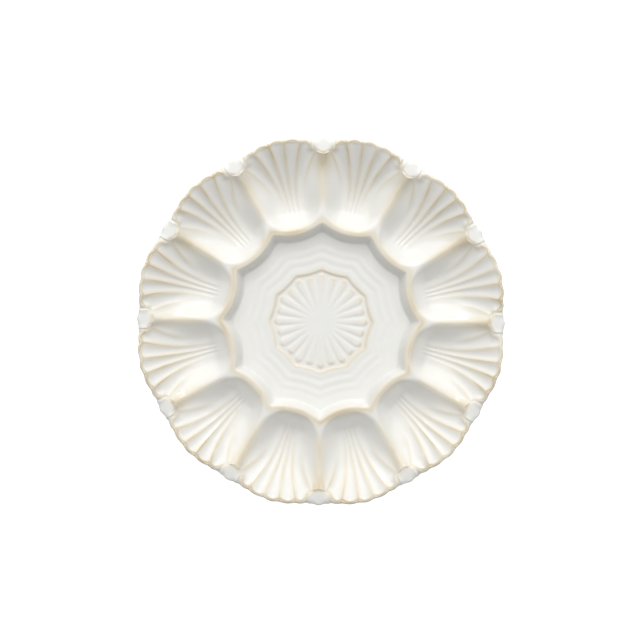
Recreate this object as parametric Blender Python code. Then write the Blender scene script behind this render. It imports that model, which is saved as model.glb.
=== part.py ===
"""A round egg plate in glazed stoneware: twelve fluted shell wells round a sunken middle with a rosette.

The plate stands on z = 0 with its axis on Z. A clay body carries a thin glaze coat over its face and
back, and a separate glaze patch inside the bare foot ring. Every skin is a stack of closed rings
about the axis, worked out from the height of the face or of the back at each point.
"""

import math

import bpy
import numpy as np

MM = 0.001

# Wells round the plate. A shell lies on the middle of each sector, a partition on its two sides.
WELLS = 12
SECTOR = 2 * math.pi / WELLS
HALF_SECTOR = SECTOR / 2

# Columns across a shell: 0 is its axis, ridges at the halves, 3 its side edge, 3.5 the partition line
OUTER_RIDGE = 2.5
NEXT_RIDGE = 1.5
OUTER_FLUTE = 2
EDGE_COLUMN = 3.0
SEAM_COLUMN = 3.5

# Plan of the rim and of the webs that join the shells at the rim
RIM_RADIUS = 151.4 * MM
RIM_HALF_WIDTH = 2.2 * MM
RIM_THICKNESS = 6.8 * MM
RIM_START = math.radians(117.0)
RIM_FACE = RIM_RADIUS - RIM_HALF_WIDTH * (1.0 - math.cos(RIM_START))
LOBE_BULGE = 0.9 * MM
CORNER_RADIUS = 142.0 * MM
CORNER_CURVE = 1.7
CORNER_HALF_WIDTH = 4.0 * MM
CORNER_SPREAD = 4.0
WEB_RADIUS = 148.5 * MM
WEB_END_RADIUS = 146.8 * MM
WEB_START = math.radians(65.0)
WEB_TIP_RADIUS = 136.5 * MM
WEB_HALF_WIDTH = 7.4 * MM
WEB_FLARE = 0.7
WEB_BLEND = 0.4
PARTITION_HALF_WIDTH = 0.6 * MM

# Plan of the lip and of the star-shaped middle. The notches are rounded by an angle.
LIP_RADIUS = 75.3 * MM
LIP_ARC = 43.0 * MM
LIP_NOTCH = math.radians(1.2)
STAR_NOTCH = math.radians(2.7)
FLOOR_RADIUS = 66.2 * MM
FLOOR_CUSP = 0.136
STAR_CUSP = 0.075

# Heights above the table
FLOOR_Z = 10.0 * MM
WELL_Z = 8.5 * MM
PARTITION_Z = 20.3 * MM
WEB_DROP = 0.6 * MM
WEB_FALL = 3.4 * MM
WEB_ROLL = 1.6
WEB_STEP_RUN = 2.2 * MM

# Slopes and roundings of the wells
WELL_RADIUS = 98.0 * MM
FAN_SLOPE = 0.55
FAN_ROUNDING = 7.5 * MM
INNER_SLOPE = 1.05
INNER_ROUNDING = 1.2 * MM
INNER_FOOT = 0.35
FLANK_FOOT = 0.30
FLANK_LEAST = 8.0 * MM
FLANK_HOLLOW = 0.07
CREST_BLEND = 5.0 * MM
CREST_ROUNDING = 0.07
CORNER_ROUNDING = 2.2
TIP_LIFT = 3.2 * MM
TIP_RUN = 10.0 * MM
CORNER_LIFT = 2.2 * MM
WALL_SLOPE = 1.37
WALL_ROUNDING = 3.0 * MM
WALL_FOOT = 0.8 * MM

# Flutes: six ridges fan out over each shell, with five hollows between them
PITCH_START = 85.0 * MM
PITCH_SPAN = 63.0 * MM
PITCH_INNER = 3.2 * MM
PITCH_GROWTH = 9.4 * MM
PITCH_CURVE = 2.18
RIDGE_SPREAD = 0.04
RIDGE_MARGIN = 1.2 * MM
FLUTE_DEPTH = 1.6 * MM
FLUTE_CURVE = 0.74
FLUTE_START = 84.0 * MM
OUTER_FLUTE_START = 94.0 * MM
FLUTE_RUN = 9.0 * MM
FLANK_RUN = 20.0 * MM

# Rosette, its sunken border and the ripples of the middle
PETALS = 24
CENTRE_Z = 9.9 * MM
PETAL_START = 8.0 * MM
PETAL_FULL = 24.0 * MM
PETAL_END = 36.0 * MM
PETAL_HEIGHT = 0.55 * MM
PETAL_ROUND = 3.5 * MM
PETAL_CROWN = 0.7
GROOVE_Z = 9.1 * MM
BORDER_FOOT = 37.6 * MM
BORDER_RADIUS = 40.0 * MM
RIPPLE_START = 43.0 * MM
RIPPLE_PITCH = 7.0 * MM
RIPPLE_HEIGHT = 0.35 * MM
RIPPLE_FADE = 57.0 * MM
RIPPLE_END = 64.0 * MM

# Back: hollows under the lip and the partitions keep the wall even
BACK_Z = 3.4 * MM
BACK_BLEND = 2.0 * MM
WELL_THICKNESS = 6.2 * MM
THINNING_START = 115.0 * MM
THINNING_END = 140.0 * MM
LIP_THICKNESS = 8.0 * MM
LIP_HOLLOW_HALF = 8.0 * MM
PARTITION_THICKNESS = 7.3 * MM
WEB_THICKNESS = 5.2 * MM
PARTITION_HOLLOW_HALF = 10.0 * MM

# Foot ring, and the glaze that stops short of its tread
FOOT_OUTER = 66.0 * MM
FOOT_INNER = 59.3 * MM
FOOT_FILLET = 1.6 * MM
FOOT_ROUNDING = 0.8 * MM
GLAZE_LINE_Z = 1.6 * MM
BASE_Z = 3.4 * MM

# Layers
GLAZE = 0.7 * MM
GAP = 0.3 * MM

# Columns of one sector and rows along them, for the glaze's face and for the plainer layers under it
FAN = [-2.5, -2.0, -1.5, -1.0, -0.5, 0.0, 0.5, 1.0, 1.5, 2.0, 2.5]
INNER_COLUMNS = np.array([-3.5, -2.75, -2.5, -1.5, -0.5, 0.5, 1.5, 2.5, 2.75])
FAN_COLUMNS = np.array([-3.5, -2.75] + FAN + [2.75])
RIM_COLUMNS = np.array([-3.5, -3.12, -3.0] + FAN + [3.0, 3.12])
PLAIN_COLUMNS = np.array([-3.5, -2.75, -2.5, 0.0, 2.5, 2.75])
PLAIN_RIM_COLUMNS = np.array([-3.5, -2.5, -1.5, 0.0, 1.5, 2.5])
MIDDLE_COLUMNS = 4
BACK_COLUMNS = 6
FOOT_COLUMNS = 6
MIDDLE_ROWS = np.array([9.0, 24.0, 32.0, 34.5, 36.0, 37.6, 40.0, 43.0, 46.5, 50.0, 53.5, 57.0, 61.0]) * MM
PLAIN_MIDDLE_ROWS = np.array([12.0, 37.6, 40.5, 61.0]) * MM
WALL_ROWS = [0.0, 0.3, 0.75]
INNER_ROWS = [0.0, 0.04, 0.12, 0.21, 0.31, 0.41]
FAN_ROWS = [0.51, 0.63, 0.77, 0.898]
RIM_ROWS = [0.935, 1.0]
PLAIN_ROWS = [0.0, 0.04, 0.12, 0.21, 0.31, 0.41, 0.51, 0.63, 0.77]
PLAIN_RIM_ROWS = [0.93, 1.0]
PLAIN_SETBACK = 2.0 * MM
PLAIN_LIFT = 1.2 * MM
PLAIN_WEB_DROP = 1.0 * MM
RIM_TURNS = [0.13, 0.45, 0.72, 1.0]
BACK_ROWS = np.array([140.0, 127.0, 114.0, 101.0, 89.0, 79.0, 71.0]) * MM
ANGLE_SLACK = 1e-6
PLAN_STEPS = 6

# Surfaces
CLAY_COLOR = (0.55, 0.45, 0.34)
CLAY_ROUGHNESS = 0.85
GLAZE_COLOR = (0.80, 0.79, 0.74)
GLAZE_ROUGHNESS = 0.12
SHARP_ANGLE = math.radians(20.0)


def smooth_max(a, b, blend):
    """The larger of two heights, with the corner between them rounded."""
    return 0.5 * (a + b + np.sqrt((a - b) ** 2 + blend ** 2))


def smooth_min(a, b, blend):
    return -smooth_max(-a, -b, blend)


def smooth_step(value):
    t = np.clip(value, 0.0, 1.0)
    return t * t * (3.0 - 2.0 * t)


def rounded_slope(distance, slope, rounding):
    """Rise of a slope that starts level and straightens out."""
    return np.sqrt((slope * distance) ** 2 + rounding ** 2) - rounding


def arc_radius(phi, notch):
    """Arcs that bulge inwards on each shell's axis and meet on the partition lines in round notches."""
    angle = HALF_SECTOR - np.sqrt((HALF_SECTOR - np.abs(phi)) ** 2 + notch ** 2)
    centre = LIP_RADIUS + LIP_ARC
    return centre * np.cos(angle) - np.sqrt(LIP_ARC ** 2 - (centre * np.sin(angle)) ** 2)


def lip_radius(phi):
    return arc_radius(phi, LIP_NOTCH)


def star_radius(mid, phi):
    """Radius of a star-shaped ring of the middle, from its radius on a shell's axis."""
    outer = smooth_step((mid - RIPPLE_FADE) / (FLOOR_RADIUS - RIPPLE_FADE))
    cusp = STAR_CUSP + (FLOOR_CUSP - STAR_CUSP) * outer
    scallop = (arc_radius(phi, STAR_NOTCH) - LIP_RADIUS) / (arc_radius(HALF_SECTOR, 0.0) - LIP_RADIUS)
    return mid * (1.0 + cusp * scallop)


def ridge_pitch(r):
    share = np.clip((r - PITCH_START) / PITCH_SPAN, 0.0, None)
    return PITCH_INNER + PITCH_GROWTH * share ** PITCH_CURVE


def ridge_place(column, r):
    """Distance of a column of the fan from the shell's axis. The outer ones spread out more."""
    return column * ridge_pitch(r) * (1.0 + RIDGE_SPREAD * column ** 2)


def web_half_width(r):
    share = np.clip((r - WEB_TIP_RADIUS) / (CORNER_RADIUS - WEB_TIP_RADIUS), 0.0, 1.0)
    flare = np.sin(0.5 * math.pi * share) ** WEB_FLARE
    return PARTITION_HALF_WIDTH + (WEB_HALF_WIDTH - PARTITION_HALF_WIDTH) * flare


def shell_edge(r):
    """Distance of a shell's side edge from its axis, along the arc at this radius."""
    return r * HALF_SECTOR - web_half_width(r)


def outer_ridge_place(r):
    """The outermost ridge runs into the shell's side edge near the rim."""
    return np.minimum(ridge_place(OUTER_RIDGE, r), shell_edge(r) - RIDGE_MARGIN)


def web_share(column):
    """0 on a shell's side edge, 1 on the partition line."""
    return np.clip((np.abs(column) - EDGE_COLUMN) / (SEAM_COLUMN - EDGE_COLUMN), 0.0, 1.0)


def column_angle(column, r):
    """Angle of a column from the shell's axis at this radius."""
    size = np.abs(column)
    ridge = outer_ridge_place(r)
    next_ridge = ridge_place(NEXT_RIDGE, r)
    edge = shell_edge(r)
    flank_share = (size - OUTER_RIDGE) / (EDGE_COLUMN - OUTER_RIDGE)
    outer_fan = next_ridge + (size - NEXT_RIDGE) * (ridge - next_ridge)
    fan = np.where(size <= NEXT_RIDGE, ridge_place(size, r), outer_fan)
    flank = ridge + flank_share * (edge - ridge)
    web = edge + web_share(column) * (r * HALF_SECTOR - edge)
    offset = np.where(size <= OUTER_RIDGE, fan, np.where(size <= EDGE_COLUMN, flank, web))
    return np.sign(column) * offset / r


def flute_section(column):
    """1 in the middle of a flute, falling to 0 on the ridges beside it and outside the fan."""
    beside = 2.0 * (column - np.round(column))
    return np.where(np.abs(column) <= OUTER_RIDGE, 1.0 - beside ** 2, 0.0)


def face_end(column, lobe):
    """Radius where the face turns over into the rim: five lobes on each shell, then the corner."""
    ridges = RIM_FACE - LOBE_BULGE
    bend = (ridges - CORNER_RADIUS) * np.minimum(np.abs(column) / EDGE_COLUMN, 1.0) ** CORNER_CURVE
    return ridges - bend + LOBE_BULGE * lobe


def rim_half_width(column):
    """The rounded rim spreads wider on the shells' corners."""
    corner = np.minimum(np.abs(column) / EDGE_COLUMN, 1.0) ** CORNER_SPREAD
    return RIM_HALF_WIDTH + (CORNER_HALF_WIDTH - RIM_HALF_WIDTH) * corner


def web_end(column):
    return WEB_END_RADIUS + (WEB_RADIUS - WEB_END_RADIUS) * np.sin(0.5 * math.pi * web_share(column))


def fan_height(r):
    return WELL_Z + rounded_slope(np.clip(r - WELL_RADIUS, 0.0, None), FAN_SLOPE, FAN_ROUNDING)


def crest_height(r):
    """Height of the partition, and past the web's tip of the shell's side edge."""
    outer = np.clip((r - WEB_TIP_RADIUS) / (CORNER_RADIUS - WEB_TIP_RADIUS), 0.0, 1.0)
    lift = TIP_LIFT + (CORNER_LIFT - TIP_LIFT) * outer
    return smooth_max(PARTITION_Z, fan_height(r) + lift, CREST_BLEND)


def bowl_height(r, phi):
    """The well without its flutes: flanks, inner wall and web tips rise from the fan up to the crest."""
    fan = fan_height(r)
    crest = crest_height(r)
    to_line = np.maximum(r * HALF_SECTOR - PARTITION_HALF_WIDTH - np.abs(phi) * r, 0.0)
    flank_width = np.maximum(r * HALF_SECTOR - outer_ridge_place(r), FLANK_LEAST)
    flank = smooth_max(0.0, 1.0 - to_line / flank_width, FLANK_FOOT)
    aside = np.minimum(to_line / (WEB_HALF_WIDTH - PARTITION_HALF_WIDTH), 1.0)
    web_inner = 2.0 / math.pi * np.arcsin(aside ** (1.0 / WEB_FLARE))
    to_web = WEB_TIP_RADIUS + (CORNER_RADIUS - WEB_TIP_RADIUS) * web_inner - r
    tip = smooth_max(0.0, 1.0 - to_web / TIP_RUN, FLANK_FOOT) * (1.0 - smooth_step(aside))
    inner_fall = rounded_slope(r - lip_radius(phi), INNER_SLOPE, INNER_ROUNDING)
    inner = smooth_max(0.0, 1.0 - inner_fall / (PARTITION_Z - WELL_Z), INNER_FOOT)
    sides = flank ** CORNER_ROUNDING + inner ** CORNER_ROUNDING + tip ** CORNER_ROUNDING
    walls = sides ** (1.0 / CORNER_ROUNDING)
    return fan + (crest - fan) * smooth_min(walls, 1.0, CREST_ROUNDING)


def web_height(r):
    share = np.clip((r - WEB_TIP_RADIUS) / (WEB_RADIUS - WEB_TIP_RADIUS), 0.0, None)
    return crest_height(np.minimum(r, WEB_TIP_RADIUS)) - WEB_DROP - WEB_FALL * share ** WEB_ROLL


def flute_depth(r, column):
    start = np.where(np.abs(np.round(column)) < OUTER_FLUTE, FLUTE_START, OUTER_FLUTE_START)
    full = FLUTE_DEPTH * (ridge_pitch(r) / (PITCH_INNER + PITCH_GROWTH)) ** FLUTE_CURVE
    return full * smooth_step((r - start) / FLUTE_RUN)


def flank_hollow(r, column):
    """The scoop between the outermost ridge and the crest."""
    share = np.clip((np.abs(column) - OUTER_RIDGE) / (EDGE_COLUMN - OUTER_RIDGE), 0.0, 1.0)
    width = shell_edge(r) - outer_ridge_place(r)
    return FLANK_HOLLOW * width * 4.0 * share * (1.0 - share) * smooth_step((r - OUTER_FLUTE_START) / FLANK_RUN)


def well_height(r, phi, column, hollow):
    """The face of a well, its partitions and the webs. hollow is the share of the flutes' depth taken out."""
    past_edge = np.abs(phi) * r - shell_edge(r)
    bowl = bowl_height(r, np.minimum(np.abs(phi), shell_edge(r) / r))
    web = web_height(r) + (bowl - web_height(r)) * (1.0 - smooth_step(past_edge / WEB_STEP_RUN))
    outside = np.where(r > WEB_TIP_RADIUS, web, bowl_height(r, phi))
    hollows = flute_depth(r, column) * hollow + flank_hollow(r, column)
    return np.where(past_edge > 0.0, outside, bowl - hollows)


def middle_height(mid, phi, petals):
    """The rosette, its sunken border and the ripples, by radius on a shell's axis and by angle."""
    full = smooth_step((mid - PETAL_START) / (PETAL_FULL - PETAL_START))
    ground = CENTRE_Z - (CENTRE_Z - GROOVE_Z) * full
    petal_angle = 2.0 * math.pi / PETALS
    across = 2.0 * (phi / petal_angle - np.round(phi / petal_angle))
    along = np.clip((mid - (PETAL_END - PETAL_ROUND)) / PETAL_ROUND, 0.0, None)
    petal = np.clip(1.0 - across ** 2 - along ** 2, 0.0, None) ** PETAL_CROWN
    rosette = ground + petals * PETAL_HEIGHT * full * petal
    ripple_fade = 1.0 - smooth_step((mid - RIPPLE_FADE) / (RIPPLE_END - RIPPLE_FADE))
    wave = np.cos(2.0 * math.pi * np.clip(mid - RIPPLE_START, 0.0, None) / RIPPLE_PITCH)
    floor = FLOOR_Z + 0.5 * RIPPLE_HEIGHT * wave * ripple_fade
    border = smooth_step((mid - BORDER_FOOT) / (BORDER_RADIUS - BORDER_FOOT))
    return rosette + (floor - rosette) * border


def wall_height(share, phi):
    """The wall of the middle, at a share of the way from the floor to the lip."""
    fall = rounded_slope((1.0 - share) * (LIP_RADIUS - FLOOR_RADIUS), WALL_SLOPE, WALL_ROUNDING)
    return smooth_max(FLOOR_Z, bowl_height(lip_radius(phi), phi) - fall, WALL_FOOT)


def bell(distance):
    """1 at no distance, falling smoothly to 0 at a distance of 1."""
    return 0.5 + 0.5 * np.cos(math.pi * np.clip(np.abs(distance), 0.0, 1.0))


def back_height(r, phi):
    """The back: twelve rounded well backs, parted by hollows under the partitions and the lip."""
    thinning = smooth_step((r - THINNING_START) / (THINNING_END - THINNING_START))
    well_wall = WELL_THICKNESS + (RIM_THICKNESS - WELL_THICKNESS) * thinning
    seam_wall = PARTITION_THICKNESS + (WEB_THICKNESS - PARTITION_THICKNESS) * thinning
    shell = smooth_max(BACK_Z, fan_height(r) - well_wall, BACK_BLEND)
    seam = np.where(r > WEB_TIP_RADIUS, web_height(r), crest_height(r)) - seam_wall
    past_lip = (r - lip_radius(phi)) / LIP_HOLLOW_HALF
    to_seam = r * (HALF_SECTOR - np.abs(phi)) / PARTITION_HOLLOW_HALF
    back = shell + (seam - shell) * bell(to_seam) * bell(np.minimum(past_lip, 0.0))
    under_lip = np.maximum(PARTITION_Z - LIP_THICKNESS - back, 0.0)
    return back + under_lip * bell(past_lip)


def ring(radius, phi, height):
    """A closed ring: one sector's points, repeated in every sector."""
    axes = (np.arange(WELLS)[:, None] + 0.5) * SECTOR
    angle = (axes + phi).ravel()
    r = np.tile(np.broadcast_to(radius, np.shape(phi)), WELLS)
    z = np.tile(np.broadcast_to(height, np.shape(phi)), WELLS)
    return np.column_stack([r * np.cos(angle), r * np.sin(angle), z])


def even_angles(count):
    """Angles of one sector, from a partition line onwards."""
    return -HALF_SECTOR + SECTOR * np.arange(count) / count


def pole(height):
    return np.array([[0.0, 0.0, height]])


def middle_ring(mid, count, petals):
    phi = even_angles(count)
    return ring(star_radius(mid, phi), phi, middle_height(mid, phi, petals))


def well_plan(columns, share, end):
    """Radius and angle of one ring of the wells, at a share of the way from the lip to the face's end."""
    r = LIP_RADIUS + share * (end - LIP_RADIUS)
    for _ in range(PLAN_STEPS):
        phi = column_angle(columns, r)
        lip = lip_radius(phi)
        r = lip + share * (end - lip)
    return r, phi


def wall_ring(columns, share):
    phi = well_plan(columns, 0.0, LIP_RADIUS)[1]
    floor = star_radius(FLOOR_RADIUS, phi)
    return ring(floor + share * (lip_radius(phi) - floor), phi, wall_height(share, phi))


def well_ring(columns, share):
    r, phi = well_plan(columns, share, face_end(columns, flute_section(columns)))
    return ring(r, phi, well_height(r, phi, columns, flute_section(columns)))


def rounded_edge(r, phi, z, width, start, turn, lift):
    """A point on the rounded rim: turn goes from 0 on the face to 1 on the back, lifted by so much."""
    angle = start + turn * (-0.5 * math.pi - start)
    back = back_height(r - width * np.cos(start), phi) + lift
    half = (z - back) / (1.0 + np.sin(start))
    out = width * (np.cos(angle) - np.cos(start))
    return r + out, z + half * (np.sin(angle) - np.sin(start))


def rim_ring(columns, turn):
    """Over the rim. A web carries on outwards for the first half of the turn, then turns over itself."""
    section = flute_section(columns)
    r, phi = well_plan(columns, 1.0, face_end(columns, section))
    z = well_height(r, phi, columns, section)
    shell_r, shell_z = rounded_edge(r, phi, z, rim_half_width(columns), RIM_START, turn, 0.0)
    web_r = r + (web_end(columns) - r) * min(2.0 * turn, 1.0)
    web_phi = column_angle(columns, web_r)
    web_z = well_height(web_r, web_phi, columns, section)
    web_turn = max(2.0 * turn - 1.0, 0.0)
    web_r, web_z = rounded_edge(web_r, web_phi, web_z, RIM_HALF_WIDTH, WEB_START, web_turn, 0.0)
    on_web = smooth_step(web_share(columns) / WEB_BLEND)
    angle = phi + (web_phi - phi) * on_web
    return ring(shell_r + (web_r - shell_r) * on_web, angle, shell_z + (web_z - shell_z) * on_web)


def plain_well_ring(columns, share):
    r, phi = well_plan(columns, share, face_end(columns, 0.0))
    in_fan = np.where(np.abs(columns) <= OUTER_RIDGE, 1.0, 0.0)
    return ring(r, phi, well_height(r, phi, columns, in_fan))


def plain_rim_ring(columns, share, turn):
    """The outer wells and the rim without lobes, ridges and raised side edges."""
    on_web = np.abs(columns) > EDGE_COLUMN
    end = np.where(on_web, web_end(columns) - PLAIN_SETBACK, face_end(columns, 0.0))
    r, phi = well_plan(columns, share, end)
    z = np.where(on_web, web_height(r) - PLAIN_WEB_DROP, fan_height(r) - flute_depth(r, columns))
    start = np.where(on_web, WEB_START, RIM_START)
    r, z = rounded_edge(r, phi, z, RIM_HALF_WIDTH, start, turn, PLAIN_LIFT)
    return ring(r, phi, z)


def back_ring(radius, count):
    phi = even_angles(count)
    return ring(radius, phi, back_height(radius, phi))


def foot_ring(radius, height):
    return ring(radius, even_angles(FOOT_COLUMNS), height)


def ring_angles(points):
    """Angle of each point from the first one, which lies on +X, and of the first again after a full turn."""
    angle = (np.arctan2(points[:, 1], points[:, 0]) + ANGLE_SLACK) % (2.0 * math.pi)
    return np.append(angle, 2.0 * math.pi)


def split_quad(first, second, start, other, k):
    """Two triangles between points k and k + 1 of two equal rings, along the shorter diagonal."""
    after = (k + 1) % len(first)
    rising = np.linalg.norm(second[after] - first[k])
    falling = np.linalg.norm(second[k] - first[after])
    if rising < falling:
        return [(start + k, other + k, other + after), (start + k, other + after, start + after)]
    return [(start + k, other + k, start + after), (other + k, other + after, start + after)]


def joined(first, second, start, other):
    """Faces between two rings, whose points start at these indexes. Unequal rings are zipped by angle."""
    a_count = len(first)
    b_count = len(second)
    if a_count == 1:
        return [(start, other + k, other + (k + 1) % b_count) for k in range(b_count)]
    if b_count == 1:
        return [(start + k, other, start + (k + 1) % a_count) for k in range(a_count)]
    if a_count == b_count:
        return [face for k in range(a_count) for face in split_quad(first, second, start, other, k)]
    a_angle = ring_angles(first)
    b_angle = ring_angles(second)
    faces = []
    a = 0
    b = 0
    while a < a_count or b < b_count:
        if b == b_count or (a < a_count and a_angle[a + 1] < b_angle[b + 1]):
            faces.append((start + a, other + b % b_count, start + (a + 1) % a_count))
            a += 1
        else:
            faces.append((start + a % a_count, other + b, other + (b + 1) % b_count))
            b += 1
    return faces


def ring_faces(rings):
    starts = np.concatenate([[0], np.cumsum([len(points) for points in rings])])
    faces = []
    for index in range(len(rings) - 1):
        faces += joined(rings[index], rings[index + 1], int(starts[index]), int(starts[index + 1]))
    return faces


def sunk(rings, depth):
    """The same rings moved in by a depth, square to the surface they span."""
    points = np.concatenate(rings)
    normals = np.zeros_like(points)
    for face in ring_faces(rings):
        corners = points[list(face)]
        normals[list(face)] += np.cross(corners[1] - corners[0], corners[2] - corners[0])
    normals /= np.linalg.norm(normals, axis=1)[:, None]
    moved = points - depth * normals
    return np.split(moved, np.cumsum([len(points) for points in rings])[:-1])


def plate_rings():
    """The glazed surface from the middle out over the rim, and back in to the glaze line on the foot."""
    rings = [pole(middle_height(0.0, 0.0, 1.0))]
    rings += [middle_ring(mid, MIDDLE_COLUMNS, 1.0) for mid in MIDDLE_ROWS]
    rings += [wall_ring(INNER_COLUMNS, share) for share in WALL_ROWS]
    for columns, rows in ((INNER_COLUMNS, INNER_ROWS), (FAN_COLUMNS, FAN_ROWS), (RIM_COLUMNS, RIM_ROWS)):
        rings += [well_ring(columns, share) for share in rows]
    rings += [rim_ring(RIM_COLUMNS, turn) for turn in RIM_TURNS]
    return rings + under_rings()


def plain_rings():
    """The same surface without petals, lobes and ridges, cut down to the bottom of the flutes."""
    rings = [pole(middle_height(0.0, 0.0, 0.0))]
    rings += [middle_ring(mid, MIDDLE_COLUMNS, 0.0) for mid in PLAIN_MIDDLE_ROWS]
    rings += [wall_ring(PLAIN_COLUMNS, share) for share in WALL_ROWS]
    rings += [plain_well_ring(PLAIN_COLUMNS, share) for share in PLAIN_ROWS]
    rings += [plain_rim_ring(PLAIN_RIM_COLUMNS, share, 0.0) for share in PLAIN_RIM_ROWS]
    rings += [plain_rim_ring(PLAIN_RIM_COLUMNS, 1.0, turn) for turn in RIM_TURNS]
    return rings + under_rings()


def under_rings():
    """The back from the rim to the foot, and the foot's outer wall down to the glaze line."""
    rings = [back_ring(radius, BACK_COLUMNS) for radius in BACK_ROWS]
    rings.append(foot_ring(FOOT_OUTER + FOOT_FILLET, BACK_Z))
    rings.append(foot_ring(FOOT_OUTER, BACK_Z - FOOT_FILLET / 2))
    rings.append(foot_ring(FOOT_OUTER, GLAZE_LINE_Z))
    return rings


def foot_section():
    """The bare clay foot from the glaze line down round the tread, and up inside to the base."""
    clay_outer = FOOT_OUTER - GLAZE - GAP
    clay_inner = FOOT_INNER + GLAZE + GAP
    clay_base = BASE_Z + GLAZE + GAP
    return [
        foot_ring(clay_outer, FOOT_ROUNDING),
        foot_ring(clay_outer - FOOT_ROUNDING, 0.0),
        foot_ring(clay_inner + FOOT_ROUNDING, 0.0),
        foot_ring(clay_inner, FOOT_ROUNDING),
        foot_ring(clay_inner, clay_base - FOOT_ROUNDING),
        foot_ring(clay_inner - FOOT_ROUNDING, clay_base),
        pole(clay_base),
    ]


def base_rings():
    """A thin glaze dish inside the foot ring, with a short skirt down the ring's inner wall."""
    outer = FOOT_INNER + GLAZE
    top = BASE_Z + GLAZE
    return [
        pole(top),
        foot_ring(outer - FOOT_ROUNDING, top),
        foot_ring(outer, top - FOOT_ROUNDING),
        foot_ring(outer, GLAZE_LINE_Z),
        foot_ring(FOOT_INNER, GLAZE_LINE_Z),
        foot_ring(FOOT_INNER, BASE_Z - FOOT_ROUNDING),
        foot_ring(FOOT_INNER - FOOT_ROUNDING, BASE_Z),
        pole(BASE_Z),
    ]


def material(name, color, roughness):
    made = bpy.data.materials.new(name)
    made.use_nodes = True
    shader = made.node_tree.nodes["Principled BSDF"]
    shader.inputs["Base Color"].default_value = (*color, 1.0)
    shader.inputs["Roughness"].default_value = roughness
    return made


def add_piece(name, rings, surface):
    mesh = bpy.data.meshes.new(name)
    mesh.from_pydata(np.concatenate(rings).tolist(), [], ring_faces(rings))
    mesh.materials.append(surface)
    mesh.shade_smooth()
    mesh.set_sharp_from_angle(angle=SHARP_ANGLE)
    piece = bpy.data.objects.new(name, mesh)
    bpy.context.scene.collection.objects.link(piece)


for old in list(bpy.data.objects):
    bpy.data.objects.remove(old, do_unlink=True)

plain = plain_rings()
clay_surface = material("bare stoneware", CLAY_COLOR, CLAY_ROUGHNESS)
coat_surface = material("glazed stoneware", GLAZE_COLOR, GLAZE_ROUGHNESS)
base_surface = material("glazed stoneware base", GLAZE_COLOR, GLAZE_ROUGHNESS)
add_piece("stoneware_body", sunk(plain, GLAZE + GAP) + foot_section(), clay_surface)
add_piece("glaze_coat", plate_rings() + sunk(plain, GLAZE)[::-1], coat_surface)
add_piece("base_glaze", base_rings(), base_surface)
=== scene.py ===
"""The looks of a round egg plate in glazed stoneware, seen from straight above.

Each skin of the plate is a stack of closed rings about the Z axis. The face's height is worked out at
every point: twelve fluted shell wells, the partitions and webs between them, and a sunken middle with
a rosette and ripples. The glaze is thin, and lets the tan clay through, where the face stands out.
Its brown on the ridges and its stronger tan by the webs' tips are partly painted shade.
"""

import math

import bpy
import numpy as np
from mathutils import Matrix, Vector


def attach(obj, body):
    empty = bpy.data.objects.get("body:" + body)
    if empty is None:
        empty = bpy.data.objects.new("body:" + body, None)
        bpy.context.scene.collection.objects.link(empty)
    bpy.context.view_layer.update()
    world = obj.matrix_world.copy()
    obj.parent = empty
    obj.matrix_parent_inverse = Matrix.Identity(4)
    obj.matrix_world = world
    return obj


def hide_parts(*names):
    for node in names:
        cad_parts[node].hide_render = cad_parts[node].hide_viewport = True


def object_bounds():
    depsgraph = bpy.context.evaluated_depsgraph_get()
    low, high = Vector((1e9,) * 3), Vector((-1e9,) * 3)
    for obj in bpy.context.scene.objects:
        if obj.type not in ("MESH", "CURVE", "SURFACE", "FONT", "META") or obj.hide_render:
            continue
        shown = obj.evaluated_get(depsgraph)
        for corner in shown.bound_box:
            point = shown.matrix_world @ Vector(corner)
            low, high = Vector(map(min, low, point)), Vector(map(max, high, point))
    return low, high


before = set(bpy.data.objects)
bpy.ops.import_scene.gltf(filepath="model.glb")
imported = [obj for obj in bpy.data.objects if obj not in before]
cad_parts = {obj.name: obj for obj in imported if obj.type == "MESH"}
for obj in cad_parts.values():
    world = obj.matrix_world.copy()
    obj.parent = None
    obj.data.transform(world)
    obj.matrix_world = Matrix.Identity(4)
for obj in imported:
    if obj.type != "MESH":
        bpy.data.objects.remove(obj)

CAD_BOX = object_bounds()
MM = 0.001

# Wells round the plate. A shell lies on the middle of each sector, a partition on its two sides.
WELLS = 12
SECTOR = 2 * math.pi / WELLS
HALF_SECTOR = SECTOR / 2

# Columns across a shell: 0 is its axis, ridges at the halves, 3 its side edge, 3.5 the partition line
INNER_RIDGE = 0.5
NEXT_RIDGE = 1.5
OUTER_RIDGE = 2.5
OUTER_FLUTE = 2
EDGE_COLUMN = 3.0
SEAM_COLUMN = 3.5

# Plan of the rim and of the webs that join the shells at the rim
RIM_RADIUS = 151.4 * MM
RIM_HALF_WIDTH = 1.6 * MM
RIM_THICKNESS = 6.8 * MM
RIM_START = math.radians(100.0)
RIM_FACE = RIM_RADIUS - RIM_HALF_WIDTH * (1.0 - math.cos(RIM_START))
LOBE_BULGE = 0.9 * MM
EDGE_ROLL = 1.0 * MM
EDGE_RUN = 5.0 * MM
CORNER_RADIUS = 142.0 * MM
CORNER_CURVE = 1.7
CORNER_HALF_WIDTH = 5.4 * MM
CORNER_SPREAD = 4.0
WEB_RADIUS = 148.46 * MM
WEB_END_RADIUS = 146.8 * MM
WEB_START = math.radians(65.0)
WEB_TIP_RADIUS = 135.5 * MM
WEB_HALF_WIDTH = 7.8 * MM
WEB_FLARE = 0.8
WEB_BLEND = 0.95
PARTITION_HALF_WIDTH = 0.6 * MM

# Plan of the lip and of the star-shaped middle. The notches are rounded by an angle.
LIP_RADIUS = 75.3 * MM
LIP_ARC = 43.0 * MM
LIP_NOTCH = math.radians(1.2)
STAR_NOTCH = math.radians(2.1)
FLOOR_RADIUS = 66.6 * MM
FLOOR_CUSP = 0.115
STAR_CUSP = 0.075

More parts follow.
